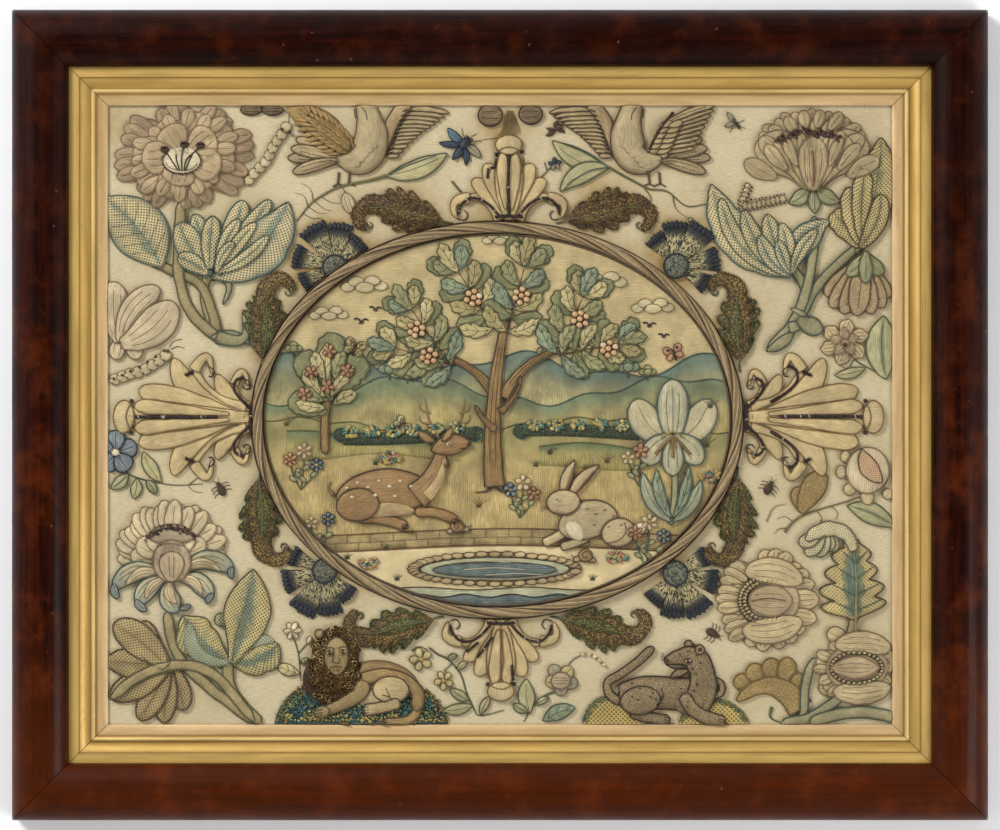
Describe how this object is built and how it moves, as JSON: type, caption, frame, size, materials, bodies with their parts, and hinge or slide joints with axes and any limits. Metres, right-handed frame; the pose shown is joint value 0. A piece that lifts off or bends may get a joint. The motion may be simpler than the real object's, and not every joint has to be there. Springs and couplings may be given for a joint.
{
  "type": "framed raised embroidery textile panel in a wood picture frame",
  "caption": "Rectangular satin panel of padded silk flowers, leaves, birds and beasts round a corded oval garden scene, in a dark cushion-moulded wood frame with a stepped gilt inner slip.",
  "frame": {"origin": "middle of the frame's flat back, which lies on the surface", "axes": "+X along the picture's width to its right, +Y towards the top of the picture, +Z straight out of its face"},
  "size_m": [0.548, 0.455, 0.024],
  "materials": {
    "dark_wood": "polished",
    "gilt": "worn leaf",
    "board": "plain",
    "satin": "aged silk satin",
    "metal_thread_cord": "tarnished metal thread",
    "moss_thread": "looped silk",
    "navy_thread": "looped silk",
    "cream_thread": "satin stitched silk",
    "taupe_thread": "needle lace silk",
    "blue_thread": "satin stitched silk",
    "brown_thread": "satin stitched silk",
    "gold_thread": "needle lace silk",
    "teal_thread": "needle lace silk",
    "green_thread": "needle lace silk"
  },
  "bodies": {
    "root": {"acanthus_1": "moss_thread", "acanthus_2": "moss_thread", "acanthus_3": "moss_thread", "acanthus_4": "moss_thread", "acanthus_5": "moss_thread", "acanthus_6": "moss_thread", "acanthus_7": "moss_thread", "acanthus_8": "moss_thread", "backboard": "board", "bell_flower": "taupe_thread", "bird_left": "cream_thread", "bird_right": "cream_thread", "blue_flower": "blue_thread", "bush": "green_thread", "carnation_1": "navy_thread", "carnation_2": "navy_thread", "carnation_3": "navy_thread", "carnation_4": "navy_thread", "curled_leaf": "teal_thread", "daisy": "cream_thread", "frame_bottom": "dark_wood", "frame_left": "dark_wood", "frame_right": "dark_wood", "frame_top": "dark_wood", "hare": "cream_thread", "iris": "blue_thread", "leaf_edge": "green_thread", "leaf_gold": "gold_thread", "leaf_low": "green_thread", "leopard": "taupe_thread", "leopard_hill_left": "gold_thread", "leopard_hill_right": "gold_thread", "lion": "brown_thread", "lion_hill": "teal_thread", "oak_leaf": "teal_thread", "oval_cord": "metal_thread_cord", "palmette_east": "cream_thread", "palmette_north": "cream_thread", "palmette_south": "cream_thread", "palmette_west": "cream_thread", "peony": "taupe_thread", "pomegranate": "taupe_thread", "rose_corner": "taupe_thread", "rose_right": "taupe_thread", "rose_top_left": "taupe_thread", "satin_ground": "satin", "scallop_leaf": "gold_thread", "slip_bottom": "gilt", "slip_left": "gilt", "slip_right": "gilt", "slip_top": "gilt", "sprig_bottom_left": "teal_thread", "sprig_top_left": "green_thread", "sprig_top_right": "teal_thread", "stag": "brown_thread", "star_flower": "taupe_thread", "stems_bottom_right": "green_thread", "tree": "green_thread", "tulip": "taupe_thread"}
  },
  "joints": []
}
